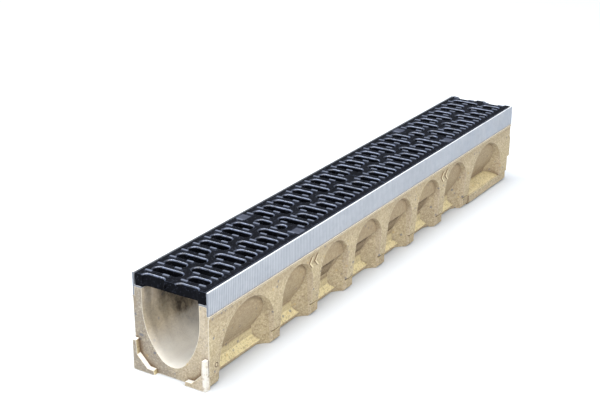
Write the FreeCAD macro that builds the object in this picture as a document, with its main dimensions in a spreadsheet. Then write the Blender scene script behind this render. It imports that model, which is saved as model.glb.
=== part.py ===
import FreeCAD, Part
import Sketcher
import math
import os

# Channel drain, one metre laying length, nominal width 100 mm.
# Polymer-concrete trough with cast-in galvanised edge rails, two half-metre
# slotted ductile-iron grates and the spring clips that hold them down.
# Frame: length along Y (male end at -Y), width along X, +Z up, millimetres.
# Origin: middle of the bounding box, on the underside.

doc = FreeCAD.newDocument("channel_drain")
V = FreeCAD.Vector

# ---------------------------------------------------------------- dimensions
D = {}
sheet = doc.addObject("Spreadsheet::Sheet", "dims")
row_no = 0


def dim(alias, value):
    global row_no
    row_no += 1
    sheet.set("A%d" % row_no, alias)
    sheet.set("B%d" % row_no, repr(float(value)))
    sheet.setAlias("B%d" % row_no, alias)
    D[alias] = float(value)


# overall
dim("lay_length", 1000.0)        # laying length, end face to end face
dim("end_near", -496.0)          # main face at the male end
dim("end_far", 504.0)            # main face at the female end
dim("top_z", 150.0)              # rail top
dim("lip_half", 67.5)            # half width over the cast lip
dim("side_base_half", 64.7)      # half width at the foot of the end collar
dim("side_top_half", 66.3)       # half width just under the lip
dim("lip_low_z", 110.0)
dim("lip_top_z", 114.0)
dim("wall_top_z", 128.0)         # top of the wall, under the rail flange
# bore
dim("bore_half", 50.5)
dim("bore_knee_z", 100.0)
dim("bore_flank_rad", 108.8)
dim("bore_floor_rad", 30.0)
dim("bore_floor_z", 17.0)
# side relief of the ribs and feet
dim("rib_flat_z", 66.0)
dim("rib_low_half", 61.9)
dim("foot_top_z", 19.5)
dim("foot_half", 60.7)
dim("foot_cham", 4.5)
dim("block_half", 62.3)
dim("block_cham", 3.5)
# side pockets
dim("pocket_pitch", 106.8)
dim("pocket_mid_y", -1.5)        # middle of the pocket row
dim("pocket_rad", 42.5)
dim("pocket_arc_z", 61.5)
dim("pocket_foot_half", 46.0)
dim("big_rad", 68.0)
dim("big_arc_z", 35.0)
dim("big_offset", 398.5)         # pocket row middle to big pocket middle
dim("shell_rad", 117.2)          # outside of the trough wall in the pockets
dim("crease_z", 31.5)
dim("cove_rad", 46.0)            # hollow of the apron below the crease
dim("base_half", 46.5)           # scalloped base edge between the feet
dim("lip_base_z", 7.6)
dim("scoop_cham", 4.2)
dim("bar_top_z", 17.5)
dim("recess_top_z", 69.6)        # ledge of the thicker upper wall, middle pockets
dim("recess_rad", 116.0)
dim("hatch_wide", 1.6)           # small upright ribs inside the recess
dim("hatch_pitch", 4.4)
dim("groove_half", 58.4)         # groove between rib and foot
# keys
dim("key_out", 8.0)
dim("key_clear", 0.7)
dim("socket_deep", 8.7)
dim("key_half", 64.3)
dim("key_top_z", 47.5)
# rails
dim("rail_out", 66.0)
dim("rail_thick", 2.5)
dim("rail_low_z", 114.0)
dim("seat_z", 130.0)
dim("flange_in", 50.3)
dim("anchor_deep", 14.0)
dim("anchor_wide", 22.0)
dim("anchor_count", 5)
dim("anchor_pitch", 200.0)
# grates
dim("grate_len", 498.4)
dim("grate_half", 61.2)
dim("grate_top_z", 149.6)
dim("grate_step_z", 136.0)
dim("grate_end_gap", 0.8)
dim("beam_wide", 11.7)
dim("row_pitch", 27.75)
dim("slot_wide", 14.6)
dim("slot_round", 3.0)
dim("end_bar_in", 229.6)          # inner face of the full-depth bar at each end
dim("slot_outer", 48.6)
dim("slot_long_in", 1.0)
dim("slot_short_in", 14.0)
dim("tab_half", 10.5)
dim("tab_low_z", 143.6)
dim("nub_high", 2.4)
dim("nub_long", 13.0)
dim("nub_wide", 4.6)
dim("nub_x_a", 16.0)
dim("nub_x_b", 47.0)
# spring clips
dim("clip_in", 41.8)
dim("clip_out", 58.2)
dim("clip_long", 18.4)
dim("clip_head", 5.0)
dim("clip_gap", 0.35)
dim("leg_thick", 3.0)
dim("leg_wide", 10.0)
dim("leg_low_z", 121.0)
doc.recompute()


def d(alias):
    return D[alias]


# ------------------------------------------------------------------- helpers
PLANE_XZ = FreeCAD.Rotation(V(1, 0, 0), 90)       # sketch x = X, sketch y = Z
PLANE_YZ = FreeCAD.Rotation(V(1, 1, 1), 120)      # sketch x = Y, sketch y = Z


def pair(v):
    return v if isinstance(v, tuple) else (float(v), None)


def outline(sk, pts, arcs=None):
    """Closed outline. pts: ((x, expr), (y, expr)) or plain numbers.
    arcs: {edge index: (radius, expr, cx, cy)} for the edge that leaves pt i."""
    arcs = arcs or {}
    pts = [(pair(a), pair(b)) for a, b in pts]
    n = len(pts)
    base = sk.GeometryCount
    ends = []
    for i in range(n):
        (x0, _), (y0, _) = pts[i]
        (x1, _), (y1, _) = pts[(i + 1) % n]
        if i in arcs:
            r, ex, cx, cy = arcs[i]
            a0 = math.atan2(y0 - cy, x0 - cx)
            a1 = math.atan2(y1 - cy, x1 - cx)
            sweep = (a1 - a0) % (2 * math.pi)
            circ = Part.Circle(V(cx, cy, 0), V(0, 0, 1), r)
            if sweep <= math.pi + 1e-6:
                sk.addGeometry(Part.ArcOfCircle(circ, a0, a0 + sweep), False)
                ends.append((1, 2))
            else:
                sk.addGeometry(Part.ArcOfCircle(circ, a1, a1 + 2 * math.pi - sweep), False)
                ends.append((2, 1))
        else:
            sk.addGeometry(Part.LineSegment(V(x0, y0, 0), V(x1, y1, 0)), False)
            ends.append((1, 2))
    for i in range(n):
        j = (i + 1) % n
        sk.addConstraint(Sketcher.Constraint("Coincident", base + i, ends[i][1],
                                             base + j, ends[j][0]))
    for i in range(n):
        (x0, ex), (y0, ey) = pts[i]
        for kind, val, expr in (("DistanceX", x0, ex), ("DistanceY", y0, ey)):
            c = sk.addConstraint(Sketcher.Constraint(kind, -1, 1, base + i, ends[i][0], val))
            if expr:
                sk.setExpression("Constraints[%d]" % c, expr)
    for i in arcs:
        r, ex, cx, cy = arcs[i]
        (x0, _), (y0, _) = pts[i]
        (x1, _), (y1, _) = pts[(i + 1) % n]
        if abs(math.hypot(x1 - x0, y1 - y0) - 2 * r) < 1e-3:
            # half circle: its ends give the radius, so the centre is held instead
            sk.addConstraint(Sketcher.Constraint("DistanceY", -1, 1, base + i, 3, cy))
            continue
        c = sk.addConstraint(Sketcher.Constraint("Radius", base + i, r))
        if ex:
            sk.setExpression("Constraints[%d]" % c, ex)


def free_sketch(name, rot, pos=V(0, 0, 0)):
    sk = doc.addObject("Sketcher::SketchObject", name)
    sk.Placement = FreeCAD.Placement(pos, rot)
    return sk


def extrude(name, sk, direction, length, expr=None, taper=0.0):
    e = doc.addObject("Part::Extrusion", name)
    e.Base = sk
    e.DirMode = "Custom"
    e.Dir = direction
    e.LengthFwd = length
    e.Solid = True
    if expr:
        e.setExpression("LengthFwd", expr)
    if taper:
        e.TaperAngle = taper
    return e


def boolean(kind, name, *objs):
    if kind == "cut":
        o = doc.addObject("Part::Cut", name)
        o.Base, o.Tool = objs
    elif kind == "fuse":
        o = doc.addObject("Part::MultiFuse", name)
        o.Shapes = list(objs)
    else:
        o = doc.addObject("Part::MultiCommon", name)
        o.Shapes = list(objs)
    return o


def mirrored(name, obj):
    m = doc.addObject("Part::Mirroring", name)
    m.Source = obj
    m.Normal = V(1, 0, 0)
    m.Base = V(0, 0, 0)
    return m


def both_sides(name, obj):
    return boolean("fuse", name, obj, mirrored(name + "_m", obj))


def plane_of(body, role):
    for o in body.Origin.OriginFeatures:
        if o.Role == role:
            return o
    raise ValueError(role)


def body_sketch(body, name, role, offset=None, expr=None):
    sk = body.newObject("Sketcher::SketchObject", name)
    sk.AttachmentSupport = [(plane_of(body, role), "")]
    sk.MapMode = "FlatFace"
    if offset is not None:
        sk.AttachmentOffset = FreeCAD.Placement(V(0, 0, offset), FreeCAD.Rotation())
        if expr:
            sk.setExpression("AttachmentOffset.Base.z", expr)
    return sk


# ------------------------------------------------------------- channel body
# Cross-section of the trough: outside, wall tops and bore in one outline.
h = d("bore_half")
kz = d("bore_knee_z")
fr = d("bore_flank_rad")
br = d("bore_floor_rad")
bz = d("bore_floor_z")
flank_c = (h - fr, kz)
floor_c = (0.0, bz + br)
dd = math.hypot(floor_c[0] - flank_c[0], floor_c[1] - flank_c[1])
tx = flank_c[0] + (floor_c[0] - flank_c[0]) / dd * fr
tz = flank_c[1] + (floor_c[1] - flank_c[1]) / dd * fr
dim("bore_join_x", tx)
dim("bore_join_z", tz)

section = free_sketch("section", PLANE_XZ, V(0, d("end_near"), 0))
right = [
    ((d("side_base_half"), "dims.side_base_half"), 0.0),
    ((d("side_top_half"), "dims.side_top_half"), (d("lip_low_z"), "dims.lip_low_z")),
    ((d("lip_half"), "dims.lip_half"), (d("lip_low_z") + 0.9, "dims.lip_low_z + 0.9")),
    ((d("lip_half"), "dims.lip_half"), (d("lip_top_z"), "dims.lip_top_z")),
    ((d("rail_out") - d("rail_thick"), "dims.rail_out - dims.rail_thick"),
     (d("lip_top_z"), "dims.lip_top_z")),
    ((d("rail_out") - d("rail_thick"), "dims.rail_out - dims.rail_thick"),
     (d("wall_top_z"), "dims.wall_top_z")),
    ((h, "dims.bore_half"), (d("wall_top_z"), "dims.wall_top_z")),
    ((h, "dims.bore_half"), (kz, "dims.bore_knee_z")),
    ((tx, "dims.bore_join_x"), (tz, "dims.bore_join_z")),
]


def flip(pt):
    (x, ex), z = pair(pt[0]), pt[1]
    return ((-x, "-(%s)" % ex if ex else None), z)


pts = right + [flip(p) for p in reversed(right)]
nr = len(right)
outline(section, pts, {
    7: (fr, "dims.bore_flank_rad", flank_c[0], flank_c[1]),
    8: (br, "dims.bore_floor_rad", floor_c[0], floor_c[1]),
    9: (fr, "dims.bore_flank_rad", -flank_c[0], flank_c[1]),
})
blank = extrude("blank", section, V(0, 1, 0), d("lay_length"), "dims.lay_length")

# Male keys at the near end, and their sockets at the far end.
key_pts = [
    (27.0, 0.0), (28.4, 6.6), (39.4, 7.2), (57.2, 25.0), (58.6, (d("key_top_z"), "dims.key_top_z")),
    ((d("key_half"), "dims.key_half"), (d("key_top_z"), "dims.key_top_z")),
    ((d("key_half"), "dims.key_half"), 0.0),
]
key_sk = free_sketch("key_outline", PLANE_XZ, V(0, d("end_near") - d("key_out"), 0))
outline(key_sk, key_pts)
key = extrude("key", key_sk, V(0, 1, 0), d("key_out") + 2.0, "dims.key_out + 2")
keys = both_sides("keys", key)

c = d("key_clear")
sock_pts = [
    (27.0 - c, -2.0), (28.4 - c, 6.6 + c), (39.2 - c, 7.2 + c), (57.2 - c, 25.2 + c),
    (58.6 - c, (d("key_top_z") + c, "dims.key_top_z + dims.key_clear")),
    (70.0, (d("key_top_z") + c, "dims.key_top_z + dims.key_clear")),
    (70.0, -2.0),
]
sock_sk = free_sketch("socket_outline", PLANE_XZ, V(0, d("end_far") - d("socket_deep"), 0))
outline(sock_sk, sock_pts)
sock = extrude("socket", sock_sk, V(0, 1, 0), d("socket_deep") + 2.0, "dims.socket_deep + 2")
sockets = both_sides("sockets", sock)

# Ribs lean in towards their feet; the end collars stay square.
rib_sk = free_sketch("rib_relief", PLANE_XZ, V(0, d("end_near") + 24.0, 0))
outline(rib_sk, [
    (72.0, (d("rib_flat_z"), "dims.rib_flat_z")),
    (65.66, (d("rib_flat_z"), "dims.rib_flat_z")),
    ((d("rib_low_half"), "dims.rib_low_half"), (d("foot_top_z") + 2.4, "dims.foot_top_z + 2.4")),
    ((d("groove_half"), "dims.groove_half"), (d("foot_top_z") + 1.4, "dims.foot_top_z + 1.4")),
    ((d("groove_half"), "dims.groove_half"), (d("foot_top_z"), "dims.foot_top_z")),
    ((d("foot_half") - 0.7, "dims.foot_half - 0.7"), (d("foot_top_z") - 0.5, "dims.foot_top_z - 0.5")),
    ((d("foot_half"), "dims.foot_half"), (d("foot_top_z") - 1.4, "dims.foot_top_z - 1.4")),
    ((d("foot_half"), "dims.foot_half"), (d("foot_cham"), "dims.foot_cham")),
    ((d("foot_half") - d("foot_cham"), "dims.foot_half - dims.foot_cham"), 0.0),
    ((d("foot_half") - d("foot_cham"), "dims.foot_half - dims.foot_cham"), -3.0),
    (72.0, -3.0),
])
rib_cut = extrude("rib_cut", rib_sk, V(0, 1, 0), 804.0)

block_sk = free_sketch("block_relief", PLANE_XZ, V(0, d("end_near"), 0))
outline(block_sk, [
    (72.0, (d("foot_top_z"), "dims.foot_top_z")),
    (64.99, (d("foot_top_z"), "dims.foot_top_z")),
    ((d("block_half"), "dims.block_half"), (d("foot_top_z") - 1.0, "dims.foot_top_z - 1")),
    ((d("block_half"), "dims.block_half"), (d("block_cham"), "dims.block_cham")),
    ((d("block_half") - d("block_cham"), "dims.block_half - dims.block_cham"), 0.0),
    ((d("block_half") - d("block_cham"), "dims.block_half - dims.block_cham"), -3.0),
    (72.0, -3.0),
])
block_cut = extrude("block_cut", block_sk, V(0, 1, 0), d("lay_length"), "dims.lay_length")

# Small set-back of the collar below the rail at the female end.
notch = doc.addObject("Part::Box", "far_setback")
notch.Length, notch.Width, notch.Height = 12.0, 6.0, 26.0
notch.Placement = FreeCAD.Placement(V(58.0, d("end_far") - 3.0, 88.0), FreeCAD.Rotation())

# Side pockets: an arched mouth that narrows inwards (loft), limited on the
# inside by the outer skin of the trough wall.
sr = d("shell_rad")


def shell_x(z, rad):
    return flank_c[0] + math.sqrt(rad * rad - (z - kz) ** 2)


def arc_centre(a, b, rad):
    """Centre of the arc from a to b that runs clockwise with this radius."""
    mx, mz = (a[0] + b[0]) / 2.0, (a[1] + b[1]) / 2.0
    hx, hz = (b[0] - a[0]) / 2.0, (b[1] - a[1]) / 2.0
    half = math.hypot(hx, hz)
    k = math.sqrt(rad * rad - half * half) / half
    return mx - hz * k, mz + hx * k


def skin_zone(name, y0, y1, rad, low, ledge=False):
    """Everything outside the trough skin, over the length y0..y1."""
    sk = free_sketch(name + "_sk", PLANE_XZ, V(0, y0, 0))
    top = 112.0
    crease = d("crease_z")
    if ledge:
        lz = d("recess_top_z")
        p = [(78.0, low), (78.0, top), (61.8, top), (58.3, (lz, "dims.recess_top_z")),
             (shell_x(lz, rad), (lz, "dims.recess_top_z")), (shell_x(crease, rad), crease)]
        arc = {4: (rad, "dims.recess_rad", flank_c[0], kz)}
    else:
        p = [(78.0, low), (78.0, top), (shell_x(top, rad), top), (shell_x(crease, rad), crease)]
        arc = {2: (rad, "dims.shell_rad", flank_c[0], kz)}
    n = len(p) - 1
    cr = d("cove_rad")
    a0 = (shell_x(crease, rad), crease)
    b0 = (d("base_half"), d("lip_base_z"))
    cx, cz = arc_centre(a0, b0, cr)
    if low < 0:
        arc[n] = (cr, "dims.cove_rad", cx, cz)
        p += [((d("base_half"), "dims.base_half"), (d("lip_base_z"), "dims.lip_base_z")),
              ((d("base_half"), "dims.base_half"), (d("scoop_cham"), "dims.scoop_cham")),
              ((d("base_half") - d("scoop_cham"), "dims.base_half - dims.scoop_cham"), 0.0),
              ((d("base_half") - d("scoop_cham"), "dims.base_half - dims.scoop_cham"), low)]
    else:
        p += [(62.3, low)]
    outline(sk, p, arc)
    return extrude(name, sk, V(0, 1, 0), y1 - y0)


def mouth(name, yc, rad, zc, foot, low):
    """Loft of arched outlines across X; wide at the face, narrow inside."""
    secs = []
    for i, (x, k) in enumerate(((78.5, 1.2), (66.5, 0.8), (61.5, -0.9), (56.5, -3.6), (52.0, -7.2),
                                (47.5, -12.0), (43.5, -17.5), (39.5, -24.5))):
        sk = free_sketch("%s_s%d" % (name, i), PLANE_YZ, V(x, yc, 0))
        r = rad + k
        f = foot + k
        outline(sk, [(-f, low), (f, low), (r, zc), (-r, zc)],
                {2: (r, None, 0.0, zc)})
        secs.append(sk)
    lo = doc.addObject("Part::Loft", name)
    lo.Sections = secs
    lo.Solid = True
    lo.Ruled = True
    return lo


pm = d("pocket_mid_y")
pp = d("pocket_pitch")
mids = [pm + (i - 2.5) * pp for i in range(6)]
tools = []
zone = skin_zone("skin", d("end_near") + 18.0, 320.0, sr, -4.0)
zone_bar = skin_zone("skin_bar", 300.0, d("end_far") - 16.0, sr, d("bar_top_z"))
zone_step = skin_zone("skin_step", -300.0, 300.0, d("recess_rad"), -4.0, True)

# Small upright ribs cast on the recessed wall of the four middle pockets.
hatch_sk = free_sketch("hatch_band", PLANE_XZ, V(0, -300.0, 0))
hr = d("recess_rad")
outline(hatch_sk, [
    (shell_x(40.0, hr - 2.0), 40.0), (shell_x(40.0, hr + 1.1), 40.0),
    (shell_x(64.0, hr + 1.1), 64.0), (shell_x(64.0, hr - 2.0), 64.0)])
hatch_band = extrude("hatch_ring", hatch_sk, V(0, 1, 0), 600.0)

for i, yc in enumerate(mids):
    m = mouth("mouth_%d" % (i + 2), yc, d("pocket_rad"), d("pocket_arc_z"),
              d("pocket_foot_half"), -4.0)
    if i in (0, 5):
        tools.append(boolean("common", "pocket_%d" % (i + 2), m, zone))
        continue
    hollow = boolean("common", "hollow_%d" % (i + 2), m, zone_step)
    rows = free_sketch("hatch_rows_%d" % (i + 2), PLANE_YZ, V(34.0, yc, 0))
    for j in range(9):
        q = (j - 4) * d("hatch_pitch")
        w = d("hatch_wide") / 2.0
        lean = 1.2
        outline(rows, [(q - w - lean, 38.0), (q + w - lean, 38.0), (q + w + lean, 66.0), (q - w + lean, 66.0)])
    bars = extrude("hatch_bars_%d" % (i + 2), rows, V(1, 0, 0), 28.0)
    ribs = boolean("common", "hatch_%d" % (i + 2), bars, hatch_band)
    tools.append(boolean("cut", "pocket_%d" % (i + 2), hollow, ribs))
m = mouth("mouth_1", pm - d("big_offset"), d("big_rad"), d("big_arc_z"), d("big_rad") + 2.0, -4.0)
tools.append(boolean("common", "pocket_1", m, zone))
m = mouth("mouth_8", pm + d("big_offset"), d("big_rad"), d("big_arc_z"), d("big_rad") + 2.0, -4.0)
tools.append(boolean("common", "pocket_8", m, zone_bar))

side_tools = boolean("fuse", "side_tools", rib_cut, block_cut, notch, *tools)
all_tools = boolean("fuse", "all_tools", side_tools, mirrored("side_tools_m", side_tools))
cast = boolean("cut", "cast_sides", blank, all_tools)
# Raised flow chevrons on the side, pointing along the run.
marks = []
for j, yc in enumerate((-234.0, -219.0, 207.0, 222.0)):
    sk = free_sketch("chevron_%d" % j, PLANE_YZ, V(64.0, yc, 0))
    outline(sk, [(-4.6, 95.5), (3.0, 86.5), (6.4, 86.5), (-0.6, 95.5), (6.4, 104.5), (3.0, 104.5)])
    marks.append(extrude("chevron_block_%d" % j, sk, V(1, 0, 0), 3.45))
mark_row = boolean("fuse", "chevrons", *marks)
# Round dimple low on the end collar.
dimple = doc.addObject("Part::Cylinder", "dimple")
dimple.Radius, dimple.Height = 4.0, 4.0
dimple.Placement = FreeCAD.Placement(V(64.3, d("end_near") + 17.0, 33.0), FreeCAD.Rotation(V(0, 1, 0), 90))
button = doc.addObject("Part::Cylinder", "dimple_core")
button.Radius, button.Height = 2.6, 4.0
button.Placement = dimple.Placement
ring = boolean("cut", "dimple_ring", dimple, button)
cast_b = boolean("cut", "cast_dimple", cast, ring)
cast2 = boolean("fuse", "cast_keys", cast_b, keys, mark_row, mirrored("chevrons_m", mark_row))
cast3 = boolean("cut", "cast_sockets", cast2, sockets)

# -------------------------------------------------------------- edge rails
ro = d("rail_out")
rt = d("rail_thick")


def rail(label, side):
    sk = free_sketch(label + "_profile", PLANE_XZ, V(0, d("end_near"), 0))
    s = "" if side > 0 else "-"

    def e(txt):
        return "%s(%s)" % (s, txt)

    p = [
        ((side * (ro - rt), e("dims.rail_out - dims.rail_thick")), (d("rail_low_z"), "dims.rail_low_z")),
        ((side * ro, e("dims.rail_out")), (d("rail_low_z"), "dims.rail_low_z")),
        ((side * ro, e("dims.rail_out")), (d("top_z") - 0.7, "dims.top_z - 0.7")),
        ((side * (ro - 0.7), e("dims.rail_out - 0.7")), (d("top_z"), "dims.top_z")),
        ((side * (ro - rt + 0.5), e("dims.rail_out - dims.rail_thick + 0.5")), (d("top_z"), "dims.top_z")),
        ((side * (ro - rt), e("dims.rail_out - dims.rail_thick")), (d("top_z") - 0.5, "dims.top_z - 0.5")),
        ((side * (ro - rt), e("dims.rail_out - dims.rail_thick")), (d("seat_z"), "dims.seat_z")),
        ((side * d("flange_in"), e("dims.flange_in")), (d("seat_z"), "dims.seat_z")),
        ((side * d("flange_in"), e("dims.flange_in")), (d("wall_top_z"), "dims.wall_top_z")),
        ((side * (ro - rt), e("dims.rail_out - dims.rail_thick")), (d("wall_top_z"), "dims.wall_top_z")),
    ]
    outline(sk, p)
    strip = extrude(label + "_strip", sk, V(0, 1, 0), d("lay_length"), "dims.lay_length")
    anchors = []
    n = int(d("anchor_count"))
    for i in range(n):
        b = doc.addObject("Part::Box", "%s_anchor_%d" % (label, i))
        b.Length = 2.0
        b.setExpression("Width", "dims.anchor_wide")
        b.setExpression("Height", "dims.anchor_deep + 1")
        yc = 0.5 * (d("end_near") + d("end_far")) + (i - (n - 1) / 2.0) * d("anchor_pitch")
        x0 = 56.0 if side > 0 else -58.0
        b.Placement = FreeCAD.Placement(
            V(x0, yc - d("anchor_wide") / 2.0, d("wall_top_z") - d("anchor_deep")),
            FreeCAD.Rotation())
        anchors.append(b)
    r = boolean("fuse", label, strip, *anchors)
    r.Refine = True
    r.Label = label
    return r


rail_left = rail("edge_rail_left", -1)
rail_right = rail("edge_rail_right", 1)

rails = boolean("fuse", "rail_tools", rail_left, rail_right)
channel = boolean("cut", "channel_body", cast3, rails)
channel.Refine = True
channel.Label = "channel_body"

# ------------------------------------------------------------------ grates
gl = d("grate_len")
gh = d("grate_half")
gt = d("grate_top_z")
sz = d("seat_z")
rp = d("row_pitch")
sw = d("slot_wide")


def stadium(sk, x0, x1, yc, wide, ex0=None, ex1=None, ey=None, ew=None):
    """Slot with rounded ends, long side along x."""
    r = wide / 2.0
    b0, b1 = sorted((x0, x1))
    g = sk.GeometryCount
    sk.addGeometry(Part.ArcOfCircle(Part.Circle(V(b0 + r, yc, 0), V(0, 0, 1), r),
                                    math.pi / 2, 3 * math.pi / 2), False)
    sk.addGeometry(Part.LineSegment(V(b0 + r, yc - r, 0), V(b1 - r, yc - r, 0)), False)
    sk.addGeometry(Part.ArcOfCircle(Part.Circle(V(b1 - r, yc, 0), V(0, 0, 1), r),
                                    -math.pi / 2, math.pi / 2), False)
    sk.addGeometry(Part.LineSegment(V(b1 - r, yc + r, 0), V(b0 + r, yc + r, 0)), False)
    K = Sketcher.Constraint
    sk.addConstraint(K("Tangent", g, 2, g + 1, 1))
    sk.addConstraint(K("Tangent", g + 1, 2, g + 2, 1))
    sk.addConstraint(K("Tangent", g + 2, 2, g + 3, 1))
    sk.addConstraint(K("Tangent", g + 3, 2, g, 1))
    sk.addConstraint(K("Horizontal", g + 1))
    c1 = sk.addConstraint(K("Radius", g, r))
    if ew:
        sk.setExpression("Constraints[%d]" % c1, ew)
    c2 = sk.addConstraint(K("DistanceX", -1, 1, g, 3, b0 + r))
    if ex0:
        sk.setExpression("Constraints[%d]" % c2, ex0)
    c3 = sk.addConstraint(K("DistanceX", -1, 1, g + 2, 3, b1 - r))
    if ex1:
        sk.setExpression("Constraints[%d]" % c3, ex1)
    c4 = sk.addConstraint(K("DistanceY", -1, 1, g, 3, yc))
    if ey:
        sk.setExpression("Constraints[%d]" % c4, ey)


def add_pattern(body, name, feat, count, length, length_expr):
    lp = body.newObject("PartDesign::LinearPattern", name)
    lp.Originals = [feat]
    lp.Direction = (plane_of(body, "Y_Axis"), [""])
    lp.Length = length
    lp.setExpression("Length", length_expr)
    lp.Occurrences = count
    body.Tip = lp
    doc.recompute()
    return lp


def grate(label):
    """One half-metre grate, centred on its own Y = 0."""
    body = doc.addObject("PartDesign::Body", label)
    body.Label = label
    # plan outline, full depth of the side beams
    sk = body_sketch(body, label + "_plan", "XY_Plane", sz, "dims.seat_z")
    hx = (gh, "dims.grate_half")
    nx = (-gh, "-dims.grate_half")
    hy = (gl / 2, "dims.grate_len / 2")
    ny = (-gl / 2, "-dims.grate_len / 2")
    outline(sk, [(nx, ny), (hx, ny), (hx, hy), (nx, hy)])
    pad = body.newObject("PartDesign::Pad", label + "_slab")
    pad.Profile = sk
    pad.Length = gt - sz
    pad.setExpression("Length", "dims.grate_top_z - dims.seat_z")
    doc.recompute()
    vol = body.Shape.Volume
    # underside raised inside the full-depth side beams and end bars
    sk = body_sketch(body, label + "_under", "XY_Plane", sz, "dims.seat_z")
    ix = (gh - d("beam_wide"), "dims.grate_half - dims.beam_wide")
    jx = (-(gh - d("beam_wide")), "-(dims.grate_half - dims.beam_wide)")
    ey0 = (-d("end_bar_in"), "-dims.end_bar_in")
    ey1 = (d("end_bar_in"), "dims.end_bar_in")
    outline(sk, [(jx, ey0), (ix, ey0), (ix, ey1), (jx, ey1)])
    po = body.newObject("PartDesign::Pocket", label + "_hollow")
    po.Profile = sk
    po.Reversed = True
    po.Length = d("grate_step_z") - sz
    po.setExpression("Length", "dims.grate_step_z - dims.seat_z")
    doc.recompute()
    assert body.Shape.Volume < vol - 1000, "hollow cut nothing"
    vol = body.Shape.Volume
    # slots: rows alternate long/short either side of the spine
    so = d("slot_outer")
    li = d("slot_long_in")
    si = d("slot_short_in")
    r = sw / 2
    ew = "dims.slot_wide / 2"

    def slots(name, row, long_left, count):
        s_ = body_sketch(body, name + "_sk", "XY_Plane", gt + 4.0, "dims.grate_top_z + 4")
        yc = row * rp
        ey = "%d * dims.row_pitch" % row
        if long_left:
            stadium(s_, -so, li, yc, sw, "-dims.slot_outer + dims.slot_wide / 2",
                    "dims.slot_long_in - dims.slot_wide / 2", ey, ew)
            stadium(s_, si, so, yc, sw, "dims.slot_short_in + dims.slot_wide / 2",
                    "dims.slot_outer - dims.slot_wide / 2", ey, ew)
        else:
            stadium(s_, -so, -si, yc, sw, "-dims.slot_outer + dims.slot_wide / 2",
                    "-dims.slot_short_in - dims.slot_wide / 2", ey, ew)
            stadium(s_, -li, so, yc, sw, "-dims.slot_long_in + dims.slot_wide / 2",
                    "dims.slot_outer - dims.slot_wide / 2", ey, ew)
        p_ = body.newObject("PartDesign::Pocket", name)
        p_.Profile = s_
        p_.Type = "ThroughAll"
        doc.recompute()
        if count > 1:
            add_pattern(body, name + "_row", p_, count, 2 * rp * (count - 1),
                        "%d * dims.row_pitch" % (2 * (count - 1)))

    slots(label + "_slots_a", -8, True, 4)
    slots(label + "_slots_b", -7, False, 4)
    slots(label + "_slots_c", 2, True, 4)
    slots(label + "_slots_d", 1, False, 4)
    # middle row and the half-slots at both ends
    s_ = body_sketch(body, label + "_mid_sk", "XY_Plane", gt + 4.0, "dims.grate_top_z + 4")
    stadium(s_, -25.5, 0.5, 0.0, sw, None, None, None, ew)
    stadium(s_, 11.5, 27.5, 0.0, sw, None, None, None, ew)
    for sy in (-9, 9):
        stadium(s_, d("tab_half"), so, sy * rp, sw, "dims.tab_half + dims.slot_wide / 2",
                "dims.slot_outer - dims.slot_wide / 2", "%d * dims.row_pitch" % sy, ew)
        stadium(s_, -so, -d("tab_half"), sy * rp, sw, "-dims.slot_outer + dims.slot_wide / 2",
                "-dims.tab_half - dims.slot_wide / 2", "%d * dims.row_pitch" % sy, ew)
    p_ = body.newObject("PartDesign::Pocket", label + "_mid")
    p_.Profile = s_
    p_.Type = "ThroughAll"
    doc.recompute()
    assert body.Shape.Volume < vol * 0.8, "slots cut too little"
    # rounded top edges of every slot
    names = []
    top = gt
    for i, ed in enumerate(p_.Shape.Edges):
        bb = ed.BoundBox
        if bb.ZMax - bb.ZMin > 0.01 or abs(bb.ZMin - top) > 0.01:
            continue
        if max(abs(bb.XMin), abs(bb.XMax)) > so + 0.5:
            continue
        if bb.YLength < 0.01 and abs(abs(bb.YMin) - gl / 2) < 0.01:
            continue
        names.append("Edge%d" % (i + 1))
    f = body.newObject("PartDesign::Fillet", label + "_edges")
    f.Base = (p_, names)
    f.Radius = d("slot_round")
    f.setExpression("Radius", "dims.slot_round")
    body.Tip = f
    doc.recompute()
    # outer top arris
    names = []
    for i, ed in enumerate(f.Shape.Edges):
        bb = ed.BoundBox
        if bb.ZLength < 0.01 and abs(bb.ZMin - top) < 0.01 and bb.XLength < 0.01 \
                and abs(abs(bb.XMin) - gh) < 0.01:
            names.append("Edge%d" % (i + 1))
    ch = body.newObject("PartDesign::Fillet", label + "_arris")
    ch.Base = (f, names)
    ch.Radius = 0.9
    body.Tip = ch
    doc.recompute()
    # end tabs: only a thin tongue stands out in front of the end wall
    s_ = body_sketch(body, label + "_tab_sk", "XY_Plane", sz, "dims.seat_z")
    for sgn in (-1, 1):
        ya, yb = sorted((sgn * (9 * rp - sw / 2 + 0.3), sgn * (gl / 2 + 2.0)))
        outline(s_, [(-13.0, ya), (13.0, ya), (13.0, yb), (-13.0, yb)])
    p_ = body.newObject("PartDesign::Pocket", label + "_tabs")
    p_.Profile = s_
    p_.Reversed = True
    p_.Length = d("tab_low_z") - sz
    p_.setExpression("Length", "dims.tab_low_z - dims.seat_z")
    v0 = body.Shape.Volume
    body.Tip = p_
    doc.recompute()
    assert body.Shape.Volume < v0 - 500, "tab cut took nothing"
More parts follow.
